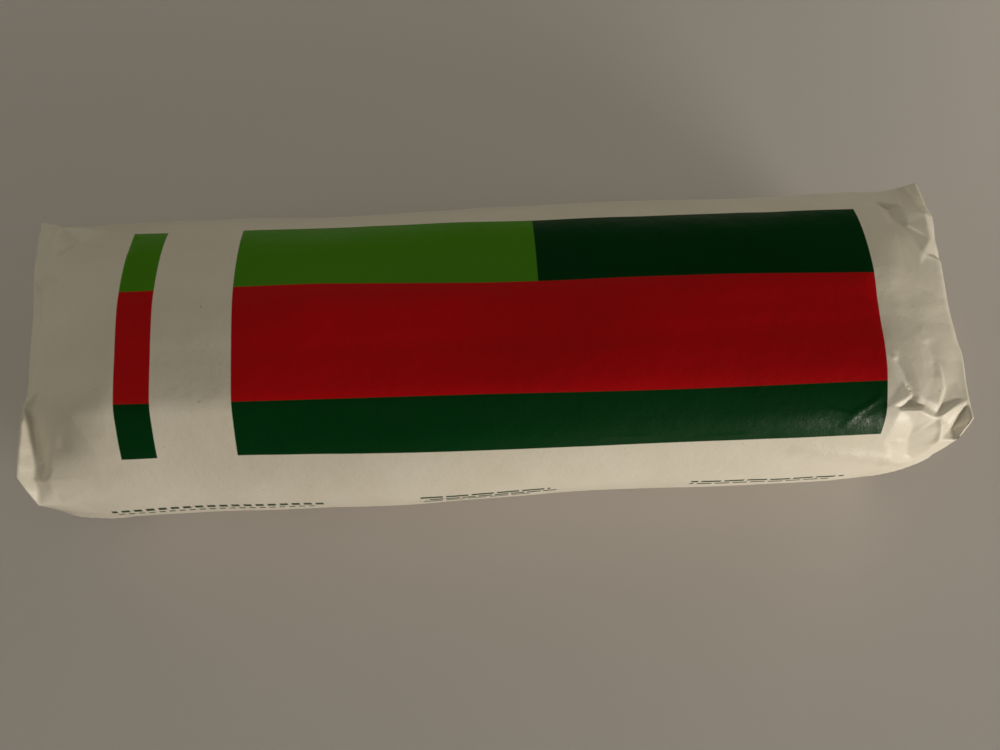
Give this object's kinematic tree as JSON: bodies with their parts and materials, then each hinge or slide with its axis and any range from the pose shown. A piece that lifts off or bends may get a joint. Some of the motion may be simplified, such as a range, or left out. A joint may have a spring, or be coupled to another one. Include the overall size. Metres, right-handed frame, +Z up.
{
  "type": "wrapped goat cheese log",
  "caption": "Soft goat cheese log shut in white printed paper, with parcel-folded ends, pinched paper corners and a glued long seam underneath.",
  "frame": {"origin": "middle of the underside, on the table", "axes": "+X along the log, +Y away from the viewer who reads the printed side, +Z up"},
  "size_m": [0.1406, 0.0476, 0.0378],
  "materials": {
    "wrapper": "semi-gloss coated white paper with printed fields of light green, dark green and red"
  },
  "bodies": {
    "root": {"wrapped_log": "wrapper"}
  },
  "joints": []
}
